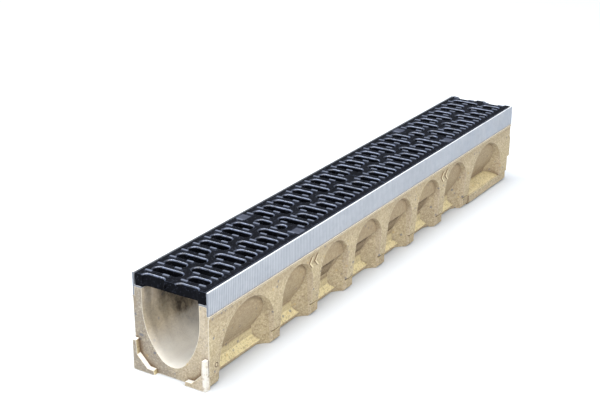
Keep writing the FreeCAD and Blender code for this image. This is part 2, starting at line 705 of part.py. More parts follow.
    # seats for the clip heads, with a through slot for each leg
    s_ = body_sketch(body, label + "_seat_sk", "XY_Plane", gt + 1.0, "dims.grate_top_z + 1")
    g = d("clip_gap")
    for sgn in (-1, 1):
        xa, xb = sorted((sgn * (d("clip_in") - g), sgn * (d("clip_out") + g)))
        yb = d("clip_long") / 2 + g
        outline(s_, [(xa, (-yb, "-(dims.clip_long / 2 + dims.clip_gap)")),
                     (xb, (-yb, "-(dims.clip_long / 2 + dims.clip_gap)")),
                     (xb, (yb, "dims.clip_long / 2 + dims.clip_gap")),
                     (xa, (yb, "dims.clip_long / 2 + dims.clip_gap"))])
    p_ = body.newObject("PartDesign::Pocket", label + "_seats")
    p_.Profile = s_
    p_.Length = d("clip_head") + 1.0
    p_.setExpression("Length", "dims.clip_head + 1")
    doc.recompute()
    s_ = body_sketch(body, label + "_leg_sk", "XY_Plane", gt + 1.0, "dims.grate_top_z + 1")
    for sgn in (-1, 1):
        xa, xb = sorted((sgn * 44.6, sgn * 49.3))
        yb = d("leg_wide") / 2 + 0.6
        outline(s_, [(xa, -yb), (xb, -yb), (xb, yb), (xa, yb)])
    p_ = body.newObject("PartDesign::Pocket", label + "_legs")
    p_.Profile = s_
    p_.Type = "ThroughAll"
    doc.recompute()
    # raised anti-slip nubs, four on each bar
    s_ = body_sketch(body, label + "_nub_sk", "XY_Plane", gt - 0.4, "dims.grate_top_z - 0.4")
    y0 = -8.5 * rp
    for xc, ex in ((-d("nub_x_b"), "-dims.nub_x_b"), (-d("nub_x_a"), "-dims.nub_x_a"),
                   (d("nub_x_a"), "dims.nub_x_a"), (d("nub_x_b"), "dims.nub_x_b")):
        half = d("nub_long") / 2
        stadium(s_, xc - half, xc + half, y0, d("nub_wide"),
                "%s - dims.nub_long / 2 + dims.nub_wide / 2" % ex,
                "%s + dims.nub_long / 2 - dims.nub_wide / 2" % ex,
                "-8.5 * dims.row_pitch", "dims.nub_wide / 2")
    n_ = body.newObject("PartDesign::Pad", label + "_nubs")
    n_.Profile = s_
    n_.Length = d("nub_high") + 0.4
    n_.setExpression("Length", "dims.nub_high + 0.4")
    n_.TaperAngle = -14.0
    body.Tip = n_
    doc.recompute()
    add_pattern(body, label + "_nub_rows", n_, 18, 17 * rp, "17 * dims.row_pitch")
    return body


mid_near = d("end_near") + d("grate_end_gap") + gl / 2
mid_far = d("end_far") - d("grate_end_gap") - gl / 2
grate_near = grate("grate_near")
grate_near.Placement = FreeCAD.Placement(V(0, mid_near, 0), FreeCAD.Rotation())
grate_far = grate("grate_far")
grate_far.Placement = FreeCAD.Placement(V(0, mid_far, 0), FreeCAD.Rotation())

# ------------------------------------------------------------ spring clips


def clip(label, side, yc):
    """Flat head in the grate, spring leg bowed towards the seat edge."""
    body = doc.addObject("PartDesign::Body", label)
    body.Label = label
    g = 0.0
    zb = gt - d("clip_head")
    sk = body_sketch(body, label + "_head_sk", "XY_Plane", zb, "dims.grate_top_z - dims.clip_head")
    xa, xb = sorted((side * d("clip_in"), side * d("clip_out")))
    ea, eb = ("dims.clip_in", "dims.clip_out") if side > 0 else ("-dims.clip_out", "-dims.clip_in")
    yb = d("clip_long") / 2
    outline(sk, [((xa, ea), (-yb, "-dims.clip_long / 2")), ((xb, eb), (-yb, "-dims.clip_long / 2")),
                 ((xb, eb), (yb, "dims.clip_long / 2")), ((xa, ea), (yb, "dims.clip_long / 2"))])
    pad = body.newObject("PartDesign::Pad", label + "_head")
    pad.Profile = sk
    pad.Length = d("clip_head")
    pad.setExpression("Length", "dims.clip_head + 0.2")
    doc.recompute()
    names = []
    for i, ed in enumerate(pad.Shape.Edges):
        bb = ed.BoundBox
        if bb.ZLength < 0.01 and bb.ZMin > gt:
            names.append("Edge%d" % (i + 1))
    fi = body.newObject("PartDesign::Fillet", label + "_round")
    fi.Base = (pad, names)
    fi.Radius = 0.8
    body.Tip = fi
    doc.recompute()
    # leg profile, drawn in XZ and extruded along Y
    sk = body_sketch(body, label + "_leg_sk", "XZ_Plane")
    lt = d("leg_thick")
    xi = 45.2
    lz = d("leg_low_z")
    xs = [xi, xi + lt, xi + lt, xi + lt + 0.8, xi + lt + 0.8, xi + lt - 0.2, xi - 0.4, xi]
    zs = [zb + 1.0, zb + 1.0, 133.0, 129.0, 126.0, lz, lz, 126.0]
    p = []
    for x, z in zip(xs, zs):
        p.append((side * x, z))
    if side < 0:
        p.reverse()
    outline(sk, p)
    leg = body.newObject("PartDesign::Pad", label + "_leg")
    leg.Profile = sk
    leg.Length = d("leg_wide")
    leg.setExpression("Length", "dims.leg_wide")
    leg.Midplane = True
    body.Tip = leg
    body.Placement = FreeCAD.Placement(V(0, yc, 0), FreeCAD.Rotation())
    doc.recompute()
    return body


clips = [
    clip("lock_clip_near_left", -1, mid_near),
    clip("lock_clip_near_right", 1, mid_near),
    clip("lock_clip_far_left", -1, mid_far),
    clip("lock_clip_far_right", 1, mid_far),
]

doc.recompute()

# ------------------------------------------------------------------- output
for o in doc.Objects:
    bad = [s for s in o.State if s in ("Invalid", "Error")]
    if bad:
        raise RuntimeError("%s is %s" % (o.Name, bad))

os.makedirs("parts", exist_ok=True)
for o in [channel, rail_left, rail_right, grate_near, grate_far] + clips:
    s = o.Shape
    if s.isNull() or not s.isValid():
        raise RuntimeError("bad shape: " + o.Label)
    if len(s.Solids) != 1:
        raise RuntimeError("%s has %d solids" % (o.Label, len(s.Solids)))
    s.exportStep("parts/%s.step" % o.Label)
    b = s.BoundBox
    print(o.Label, len(s.Solids), round(s.Volume / 1000.0, 1), "cm3",
          [round(v, 2) for v in (b.XMin, b.XMax, b.YMin, b.YMax, b.ZMin, b.ZMax)])
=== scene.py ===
import bpy
import bmesh
import math
import random
from mathutils import Vector, Matrix


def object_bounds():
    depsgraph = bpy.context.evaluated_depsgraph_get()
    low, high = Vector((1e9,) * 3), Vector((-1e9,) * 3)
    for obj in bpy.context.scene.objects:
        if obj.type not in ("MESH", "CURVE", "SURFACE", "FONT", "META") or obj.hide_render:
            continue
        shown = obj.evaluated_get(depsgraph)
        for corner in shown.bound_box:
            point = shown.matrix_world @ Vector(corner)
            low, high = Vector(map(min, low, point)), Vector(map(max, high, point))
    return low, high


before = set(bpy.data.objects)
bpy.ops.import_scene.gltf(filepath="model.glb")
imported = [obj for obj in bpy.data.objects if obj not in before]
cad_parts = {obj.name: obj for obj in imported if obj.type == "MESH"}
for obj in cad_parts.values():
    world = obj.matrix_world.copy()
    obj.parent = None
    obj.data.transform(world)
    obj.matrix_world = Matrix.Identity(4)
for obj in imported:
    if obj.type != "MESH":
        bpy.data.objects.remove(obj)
CAD_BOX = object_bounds()

# ------------------------------------------------------------ node helpers


class Tree:
    """Small helper to write node materials compactly."""

    def __init__(self, name):
        m = bpy.data.materials.get(name) or bpy.data.materials.new(name)
        m.use_nodes = True
        m.node_tree.nodes.clear()
        self.mat = m
        self.n = m.node_tree.nodes
        self.l = m.node_tree.links
        self.out = self.n.new("ShaderNodeOutputMaterial")
        self.bsdf = self.n.new("ShaderNodeBsdfPrincipled")
        self.l.new(self.bsdf.outputs[0], self.out.inputs[0])
        self.tc = self.n.new("ShaderNodeTexCoord")
        self.geo = self.n.new("ShaderNodeNewGeometry")

    def link(self, a, b):
        self.l.new(a, b)

    def obj(self):
        return self.tc.outputs["Object"]

    def mapping(self, vec, scale=(1, 1, 1), loc=(0, 0, 0), rot=(0, 0, 0)):
        m = self.n.new("ShaderNodeMapping")
        m.inputs["Scale"].default_value = scale
        m.inputs["Location"].default_value = loc
        m.inputs["Rotation"].default_value = rot
        self.l.new(vec, m.inputs["Vector"])
        return m.outputs[0]

    def noise(self, vec, scale, detail=4.0, rough=0.55, dist=0.0):
        t = self.n.new("ShaderNodeTexNoise")
        t.inputs["Scale"].default_value = scale
        t.inputs["Detail"].default_value = detail
        t.inputs["Roughness"].default_value = rough
        t.inputs["Distortion"].default_value = dist
        self.l.new(vec, t.inputs["Vector"])
        return t.outputs["Fac"]

    def voronoi(self, vec, scale, feature="F1", rand=1.0):
        t = self.n.new("ShaderNodeTexVoronoi")
        t.feature = feature
        t.inputs["Scale"].default_value = scale
        t.inputs["Randomness"].default_value = rand
        self.l.new(vec, t.inputs["Vector"])
        return t

    def ramp(self, fac, stops, interp="LINEAR"):
        if len(stops) == 2 and interp == "LINEAR" and not any(isinstance(c, (tuple, list)) for _, c in stops):
            m = self.n.new("ShaderNodeMapRange")
            m.clamp = True
            for i, val in zip((1, 2, 3, 4), (stops[0][0], stops[1][0], stops[0][1], stops[1][1])):
                m.inputs[i].default_value = val
            self.l.new(fac, m.inputs[0])
            return m.outputs[0]
        r = self.n.new("ShaderNodeValToRGB")
        r.color_ramp.interpolation = interp
        while len(r.color_ramp.elements) < len(stops):
            r.color_ramp.elements.new(0.5)
        for e, (p, c) in zip(r.color_ramp.elements, stops):
            e.position = p
            e.color = (c[0], c[1], c[2], 1.0) if isinstance(c, (tuple, list)) else (c, c, c, 1.0)
        self.l.new(fac, r.inputs[0])
        return r.outputs[0]

    def mix(self, fac, a, b, mode="MIX"):
        m = self.n.new("ShaderNodeMix")
        m.data_type = "RGBA"
        m.blend_type = mode
        for sock, v in ((m.inputs[0], fac), (m.inputs[6], a), (m.inputs[7], b)):
            if isinstance(v, bpy.types.NodeSocket):
                self.l.new(v, sock)
            elif isinstance(v, (tuple, list)):
                sock.default_value = (v[0], v[1], v[2], 1.0)
            else:
                sock.default_value = v
        return m.outputs[2]

    def math(self, op, a, b=0.0, c=0.0, clamp=False):
        m = self.n.new("ShaderNodeMath")
        m.operation = op
        m.use_clamp = clamp
        for i, v in enumerate((a, b, c)):
            if isinstance(v, bpy.types.NodeSocket):
                self.l.new(v, m.inputs[i])
            else:
                m.inputs[i].default_value = v
        return m.outputs[0]

    def sep(self, vec):
        s = self.n.new("ShaderNodeSeparateXYZ")
        self.l.new(vec, s.inputs[0])
        return s.outputs

    def bump(self, height, strength, distance, normal=None):
        b = self.n.new("ShaderNodeBump")
        b.inputs["Strength"].default_value = strength
        b.inputs["Distance"].default_value = distance
        self.l.new(height, b.inputs["Height"])
        if normal is not None:
            self.l.new(normal, b.inputs["Normal"])
        return b.outputs[0]


def srgb(r, g, b):
    def f(c):
        c /= 255.0
        return c / 12.92 if c <= 0.04045 else ((c + 0.055) / 1.055) ** 2.4
    return (f(r), f(g), f(b))


# ------------------------------------------------------ polymer concrete
def edge_mask(t, radius, lo, hi):
    """1 on convex and concave arrises, 0 on plain faces."""
    bev = t.n.new("ShaderNodeBevel")
    bev.samples = 6
    bev.inputs["Radius"].default_value = radius
    dot = t.n.new("ShaderNodeVectorMath")
    dot.operation = "DOT_PRODUCT"
    t.link(bev.outputs[0], dot.inputs[0])
    t.link(t.geo.outputs["True Normal"], dot.inputs[1])
    return t.ramp(dot.outputs["Value"], [(lo, 1.0), (hi, 0.0)])


def hollow_mask(t, dist, lo, hi):
    """1 deep in corners and hollows, 0 on open faces."""
    ao = t.n.new("ShaderNodeAmbientOcclusion")
    ao.samples = 8
    ao.only_local = True
    ao.inputs["Distance"].default_value = dist
    return t.ramp(ao.outputs["AO"], [(lo, 1.0), (hi, 0.0)])


def near_point(t, vec, p, r0, r1, rag=0.004):
    """Soft ragged blot round a point, 1 inside r0 and 0 past r1."""
    dist = t.n.new("ShaderNodeVectorMath")
    dist.operation = "DISTANCE"
    t.link(vec, dist.inputs[0])
    dist.inputs[1].default_value = p
    wob = t.math("MULTIPLY", t.math("SUBTRACT", t.noise(vec, 130.0, 4.0, 0.6), 0.5), rag)
    dd = t.math("ADD", dist.outputs["Value"], wob)
    return t.math("SUBTRACT", 1.0, t.math("DIVIDE", t.math("SUBTRACT", dd, r0), r1 - r0, clamp=True), clamp=True)


def concrete():
    t = Tree("polymer_concrete_cast")
    v = t.obj()
    n = t.sep(t.geo.outputs["Normal"])
    pos = t.sep(v)
    key = t.math("MULTIPLY", t.math("LESS_THAN", pos[1], -0.4962), t.ramp(n[2], [(0.30, 0.0), (0.60, 1.0)]))
    # broad tint: warm tan with yellower and greyer clouds
    cloud = t.noise(v, 11.0, 6.0, 0.62)
    base = t.ramp(cloud, [(0.30, srgb(164, 149, 125)), (0.50, srgb(179, 163, 132)), (0.70, srgb(192, 175, 136))])
    blot = t.noise(v, 48.0, 5.0, 0.6)
    base = t.mix(t.math("MULTIPLY", t.ramp(blot, [(0.50, 0.0), (0.72, 1.0)]), 0.35), base, srgb(164, 144, 116))
    base = t.mix(t.math("MULTIPLY", t.ramp(blot, [(0.28, 1.0), (0.46, 0.0)]), 0.30), base, srgb(211, 196, 158))
    # the end faces are greyer and pinker than the moulded sides
    end = t.ramp(t.math("ABSOLUTE", n[1]), [(0.80, 0.0), (0.97, 1.0)])
    base = t.mix(t.math("MULTIPLY", end, 0.55), base,
                 t.ramp(t.noise(v, 36.0, 5.0, 0.6), [(0.32, srgb(170, 156, 140)), (0.68, srgb(212, 197, 175))]))
    side = t.math("MULTIPLY", end, t.ramp(t.math("ADD", pos[0], t.math("MULTIPLY", blot, 0.030)), [(0.000, 1.0), (0.030, 0.0)]))
    base = t.mix(t.math("MULTIPLY", side, 0.82), base, srgb(144, 136, 128))
    leg = t.math("MULTIPLY", end, t.ramp(t.math("ADD", pos[0], t.math("MULTIPLY", blot, 0.020)), [(0.055, 0.0), (0.066, 1.0)]))
    base = t.mix(t.math("MULTIPLY", leg, 0.45), base, srgb(222, 208, 190))
    # painted light: inclined aprons lightened to a pale yellow, as if lit from above
    apron_lit = t.math("MULTIPLY", t.ramp(n[2], [(0.01, 0.0), (0.10, 1.0)]), t.ramp(n[2], [(0.80, 1.0), (0.92, 0.0)]))
    apron_lit = t.math("MULTIPLY", apron_lit, t.ramp(pos[2], [(0.0322, 1.0), (0.0345, 0.35)]))
    cove = t.math("MULTIPLY", t.math("MULTIPLY", t.math("LESS_THAN", pos[2], 0.0312), t.math("GREATER_THAN", pos[2], 0.0085)),
                  t.math("MULTIPLY", t.math("GREATER_THAN", t.math("MULTIPLY", n[0], pos[0]), 0.0),
                         t.math("MULTIPLY", t.ramp(t.math("ABSOLUTE", n[1]), [(0.20, 1.0), (0.42, 0.0)]),
                                t.math("LESS_THAN", t.math("ABSOLUTE", pos[0]), 0.0600))))
    apron_lit = t.math("MAXIMUM", apron_lit, t.math("MULTIPLY", cove, 0.85))
    base = t.mix(t.math("MULTIPLY", apron_lit, 0.88), base, srgb(252, 236, 176))
    mot = t.noise(v, 230.0, 3.0, 0.7)
    base = t.mix(t.math("MULTIPLY", t.ramp(mot, [(0.51, 0.0), (0.64, 1.0)]), t.math("SUBTRACT", 0.60, t.math("MULTIPLY", end, 0.32))), base, srgb(140, 118, 90))
    base = t.mix(t.math("MULTIPLY", t.ramp(mot, [(0.36, 1.0), (0.49, 0.0)]), 0.50), base, srgb(226, 210, 172))
    base = t.mix(t.math("MULTIPLY", side, 0.46), base, srgb(128, 122, 120))
    # sand grain
    g1 = t.voronoi(v, 1150.0)
    grain = t.sep(g1.outputs["Color"])[0]
    base = t.mix(0.30, base, t.ramp(grain, [(0.0, srgb(132, 116, 94)), (0.35, srgb(180, 163, 133)),
                                           (0.75, srgb(205, 190, 158)), (1.0, srgb(232, 222, 200))]))
    g2 = t.voronoi(v, 520.0)
    coarse = t.sep(g2.outputs["Color"])[1]
    base = t.mix(t.math("MULTIPLY", t.ramp(coarse, [(0.84, 0.0), (0.90, 1.0)]), 0.30), base, srgb(146, 124, 96))
    base = t.mix(t.math("MULTIPLY", t.ramp(coarse, [(0.08, 1.0), (0.14, 0.0)]), 0.28), base, srgb(226, 212, 184))
    # blue-grey and ochre stones showing in the face
    g3 = t.voronoi(v, 130.0)
    pick = t.sep(g3.outputs["Color"])[2]
    near = t.ramp(g3.outputs["Distance"], [(0.22, 1.0), (0.38, 0.0)])
    dark = t.math("MULTIPLY", near, t.ramp(pick, [(0.075, 1.0), (0.081, 0.0)]))
    base = t.mix(t.math("MULTIPLY", dark, 0.70), base, srgb(100, 106, 120))
    ochre = t.math("MULTIPLY", near, t.ramp(pick, [(0.92, 0.0), (0.93, 1.0)]))
    base = t.mix(t.math("MULTIPLY", ochre, 0.40), base, srgb(204, 172, 108))
    g4 = t.voronoi(v, 75.0)
    pick4 = t.sep(g4.outputs["Color"])[0]
    near4 = t.ramp(g4.outputs["Distance"], [(0.10, 1.0), (0.19, 0.0)])
    stone = t.math("MULTIPLY", near4, t.ramp(pick4, [(0.120, 1.0), (0.130, 0.0)]))
    base = t.mix(t.math("MULTIPLY", stone, 0.72), base, srgb(92, 100, 116))
    # painted shade: the bore is browner and darker away from its mouths, as if shaded by the grate
    into = t.math("ADD", t.math("SUBTRACT", t.math("MULTIPLY", pos[2], 0.6), t.math("ABSOLUTE", t.math("SUBTRACT", pos[1], 0.004))), 0.5)
    into = t.math("ADD", into, t.math("MULTIPLY", t.math("SUBTRACT", blot, 0.5), 0.04))
    into = t.ramp(into, [(0.077, 0.0), (0.120, 1.0)])
    inner = t.math("MULTIPLY", t.math("LESS_THAN", t.math("ABSOLUTE", pos[0]), 0.0512),
                   t.ramp(pos[2], [(0.010, 0.0), (0.034, 1.0)]))
    inner = t.math("MULTIPLY", inner, t.math("MULTIPLY", t.math("LESS_THAN", t.math("MULTIPLY", n[0], pos[0]), 0.0004),
                                             t.math("LESS_THAN", t.math("ABSOLUTE", n[1]), 0.5)))
    base = t.mix(t.math("MULTIPLY", inner, 0.52), base, srgb(190, 177, 163))
    # painted shade deep in the bore, broken up by noise
    bore_shade_breakup = t.ramp(t.noise(v, 85.0, 5.0, 0.7), [(0.36, 0.60), (0.60, 1.0)])
    base = t.mix(t.math("MULTIPLY", t.math("MULTIPLY", t.math("MULTIPLY", inner, into), bore_shade_breakup), 0.95), base, srgb(54, 46, 38))
    
    # painted light: the floor of the bore lightened, as if lit through its mouths
    bore_floor_lit = t.math("MULTIPLY", t.math("LESS_THAN", t.math("ABSOLUTE", pos[0]), 0.0500),
                  t.math("MULTIPLY", t.ramp(t.math("ADD", pos[2], t.math("MULTIPLY", blot, 0.020)), [(0.036, 1.0), (0.074, 0.0)]),
                         t.math("MULTIPLY", t.math("LESS_THAN", t.math("ABSOLUTE", n[1]), 0.5), t.math("GREATER_THAN", pos[2], 0.0160))))
    bore_floor_lit = t.math("MULTIPLY", bore_floor_lit, t.math("LESS_THAN", t.math("MULTIPLY", n[0], pos[0]), 0.0004))
    base = t.mix(t.math("MULTIPLY", bore_floor_lit, 0.88), base, srgb(253, 248, 238))
    # painted shade: back walls and downward faces inside the side pockets darkened
    ax = t.math("ABSOLUTE", pos[0])
    pocket = t.math("MULTIPLY", t.math("MULTIPLY", t.ramp(ax, [(0.0606, 1.0), (0.0619, 0.0)]), t.math("GREATER_THAN", ax, 0.0520)),
                    t.ramp(pos[2], [(0.0308, 0.0), (0.0326, 1.0)]))
    shell = t.math("MULTIPLY", t.ramp(t.math("ADD", n[2], 0.5), [(0.48, 1.0), (0.53, 0.0)]),
                   t.math("GREATER_THAN", ax, 0.0300))
    shell = t.math("MULTIPLY", shell, t.math("MULTIPLY", t.ramp(ax, [(0.0606, 1.0), (0.0619, 0.0)]), t.math("GREATER_THAN", t.math("ABSOLUTE", n[0]), 0.35)))
    outer = t.math("MULTIPLY", t.math("GREATER_THAN", t.math("MULTIPLY", n[0], pos[0]), 0.0),
                   t.ramp(t.math("ABSOLUTE", n[1]), [(0.20, 1.0), (0.42, 0.0)]))
    pocket_shade = t.math("MULTIPLY", t.math("MAXIMUM", pocket, shell), outer)
    base = t.mix(t.math("MULTIPLY", pocket_shade, 0.50), base, srgb(140, 118, 88))
    # painted shade: dark line along the crease at the head of each apron
    cz = t.math("ADD", t.math("ABSOLUTE", t.math("SUBTRACT", pos[2], 0.0318)), t.math("MULTIPLY", t.math("SUBTRACT", blot, 0.5), 0.002))
    crease = t.math("MULTIPLY", t.ramp(cz, [(0.0008, 1.0), (0.0042, 0.0)]), t.math("MULTIPLY", t.math("LESS_THAN", ax, 0.0420), outer))
    crease = t.math("MULTIPLY", crease, t.math("MULTIPLY", t.math("GREATER_THAN", ax, 0.0325), t.math("GREATER_THAN", t.math("ABSOLUTE", n[0]), 0.5)))
    base = t.mix(t.math("MULTIPLY", crease, 0.34), base, srgb(96, 70, 46))
    # painted highlight: raised marks lightened to stand out pale
    raised_highlight = t.math("MULTIPLY", t.math("GREATER_THAN", ax, 0.0668), t.math("LESS_THAN", pos[2], 0.1080))
    base = t.mix(t.math("MULTIPLY", raised_highlight, 0.75), base, srgb(232, 217, 178))
    # collar a little duller than the ribs
    collar = t.math("MULTIPLY", t.ramp(pos[2], [(0.0900, 0.0), (0.1020, 1.0)]), t.math("GREATER_THAN", ax, 0.0600))
    base = t.mix(t.math("MULTIPLY", collar, 0.32), base, srgb(164, 146, 120))
    # painted highlight: the lower keyed corner lightened near white
    corner = t.math("MULTIPLY", t.math("LESS_THAN", pos[1], -0.4958), t.math("GREATER_THAN", pos[0], 0.0590))
    corner = t.math("MULTIPLY", corner, t.ramp(t.noise(v, 140.0, 4.0, 0.6), [(0.34, 0.10), (0.52, 1.0)]))
    corner = t.math("MULTIPLY", corner, t.ramp(pos[2], [(0.0440, 1.0), (0.0520, 0.0)]))
    base = t.mix(t.math("MULTIPLY", corner, 0.80), base, srgb(244, 240, 232))
    # pale lime stains near the keyed end
    for p, r in (((-0.0600, -0.4960, 0.1190), 0.0060), ((-0.0505, -0.4800, 0.1110), 0.0095),
                 ((-0.0560, -0.4960, 0.1010), 0.0045)):
        blotch = near_point(t, v, p, r * 0.9, r * 1.25, 0.006)
        core = near_point(t, v, p, r * 0.45, r * 0.85, 0.006)
        ring = t.math("MULTIPLY", blotch, t.math("SUBTRACT", 1.0, core))
        base = t.mix(t.math("MULTIPLY", ring, 0.13), base, srgb(216, 210, 202))
    # painted highlight: upward faces and key ledges lightened pale, as if lit from above
    up = t.ramp(n[2], [(0.93, 0.0), (0.985, 1.0)])
    up = t.math("MAXIMUM", up, key)
    base = t.mix(t.math("MULTIPLY", up, 0.88), base, srgb(250, 246, 236))
    hollow = t.math("MULTIPLY", hollow_mask(t, 0.009, 0.50, 0.92), t.math("SUBTRACT", 1.0, key))
    # painted shade: broad darkening deep in hollows, kept off the key ledges, the bore and the aprons
    deep = hollow_mask(t, 0.050, 0.55, 0.96)
    base = t.mix(t.math("MULTIPLY", t.math("MULTIPLY", deep, t.math("SUBTRACT", 1.0, t.math("MAXIMUM", t.math("MAXIMUM", key, inner), t.math("MULTIPLY", apron_lit, 0.75)))), 0.42), base, srgb(132, 108, 80))
    # painted highlight: pale arrises, strongest at the ends and the top
    edge_highlight = t.math("MULTIPLY", edge_mask(t, 0.0019, 0.93, 0.995),
                   t.ramp(t.noise(v, 90.0, 4.0, 0.6), [(0.30, 0.45), (0.60, 1.0)]))
    ends = t.math("MAXIMUM", t.ramp(t.math("ABSOLUTE", t.math("SUBTRACT", pos[1], 0.004)), [(0.4935, 0.0), (0.4965, 1.0)]),
                  t.ramp(pos[2], [(0.1075, 0.0), (0.1100, 1.0)]))
    edge_highlight = t.math("MULTIPLY", t.math("MULTIPLY", edge_highlight, t.math("SUBTRACT", 1.0, hollow)),
                   t.math("ADD", t.math("MULTIPLY", ends, 0.85), 0.15))
    base = t.mix(t.math("MULTIPLY", edge_highlight, 0.85), base, srgb(250, 243, 224))
    # dirt and shade held in the creases and under the ledges
    base = t.mix(t.math("MULTIPLY", hollow, 0.78), base, srgb(96, 70, 46))
    t.link(base, t.bsdf.inputs["Base Color"])
    rough = t.ramp(t.noise(v, 300.0, 3.0), [(0.3, 0.74), (0.7, 0.92)])
    rough = t.mix(t.math("MULTIPLY", apron_lit, 0.75), rough, (0.36, 0.36, 0.36))
    t.link(rough, t.bsdf.inputs["Roughness"])
    t.bsdf.inputs["Specular IOR Level"].default_value = 0.30
    fine = t.noise(v, 1500.0, 3.0, 0.7)
    mid = t.noise(v, 300.0, 4.0, 0.6)
    pits = t.ramp(g2.outputs["Distance"], [(0.10, 0.0), (0.35, 1.0)])
    b = t.bump(fine, 0.40, 0.0004)
    b = t.bump(mid, 0.40, 0.0011, b)
    b = t.bump(pits, 0.22, 0.0003, b)
    t.link(b, t.bsdf.inputs["Normal"])
    return t.mat


# -------------------------------------------------------- galvanised steel
def galvanised():
    t = Tree("galvanised_sheet")
    v = t.obj()
    pos = t.sep(v)
    n = t.sep(t.geo.outputs["Normal"])
    # fine rolled hatch across the strip, closely spaced along its length
    hatch = t.n.new("ShaderNodeTexWave")
    hatch.wave_type = "BANDS"
    hatch.bands_direction = "Y"
    hatch.inputs["Scale"].default_value = 75.0
    hatch.inputs["Distortion"].default_value = 1.2
    hatch.inputs["Detail"].default_value = 2.0
    hatch.inputs["Detail Scale"].default_value = 0.6
    t.link(v, hatch.inputs["Vector"])
    line = hatch.outputs["Fac"]
    streak = t.noise(t.mapping(v, (40.0, 700.0, 14.0)), 1.0, 3.0, 0.6)
    spangle = t.voronoi(v, 120.0)
    sp = t.sep(spangle.outputs["Color"])[0]
    cloud = t.noise(t.mapping(v, (1.0, 0.5, 1.0)), 22.0, 5.0, 0.62)
    base = t.ramp(cloud, [(0.3, srgb(136, 141, 149)), (0.7, srgb(160, 164, 170))])
    base = t.mix(0.16, base, t.ramp(sp, [(0.0, srgb(166, 173, 184)), (1.0, srgb(222, 225, 229))]))
    base = t.mix(0.20, base, t.ramp(streak, [(0.30, srgb(156, 164, 176)), (0.70, srgb(226, 229, 232))]))
    base = t.mix(0.22, base, t.ramp(line, [(0.25, srgb(98, 105, 117)), (0.75, srgb(226, 228, 231))]))
    # painted highlight: the sheared top edge lightened, as if lit from above
    lit_top = t.ramp(n[2], [(0.55, 0.0), (0.85, 1.0)])
    base = t.mix(t.math("MULTIPLY", lit_top, 0.9), base, srgb(250, 251, 252))
    # duller, mottled zinc towards the far end
    dull = t.math("MULTIPLY", t.ramp(pos[1], [(0.05, 0.0), (0.50, 1.0)]),
                  t.ramp(t.noise(v, 55.0, 5.0, 0.65), [(0.42, 0.0), (0.62, 1.0)]))
    base = t.mix(t.math("MULTIPLY", dull, 0.45), base, srgb(150, 160, 176))
    # painted shade: the sheared ends darkened
    ends = t.ramp(t.math("ABSOLUTE", n[1]), [(0.80, 0.0), (0.95, 1.0)])
    base = t.mix(t.math("MULTIPLY", ends, 0.70), base, srgb(96, 102, 114))
    t.link(base, t.bsdf.inputs["Base Color"])
    t.link(t.ramp(cloud, [(0.2, 0.22), (0.8, 0.34)]), t.bsdf.inputs["Metallic"])
    r = t.ramp(streak, [(0.2, 0.40), (0.8, 0.58)])
    t.link(r, t.bsdf.inputs["Roughness"])
    b = t.bump(line, 0.10, 0.00012)
    b = t.bump(streak, 0.20, 0.00015, b)
    b = t.bump(sp, 0.06, 0.0002, b)
    t.link(b, t.bsdf.inputs["Normal"])
    return t.mat


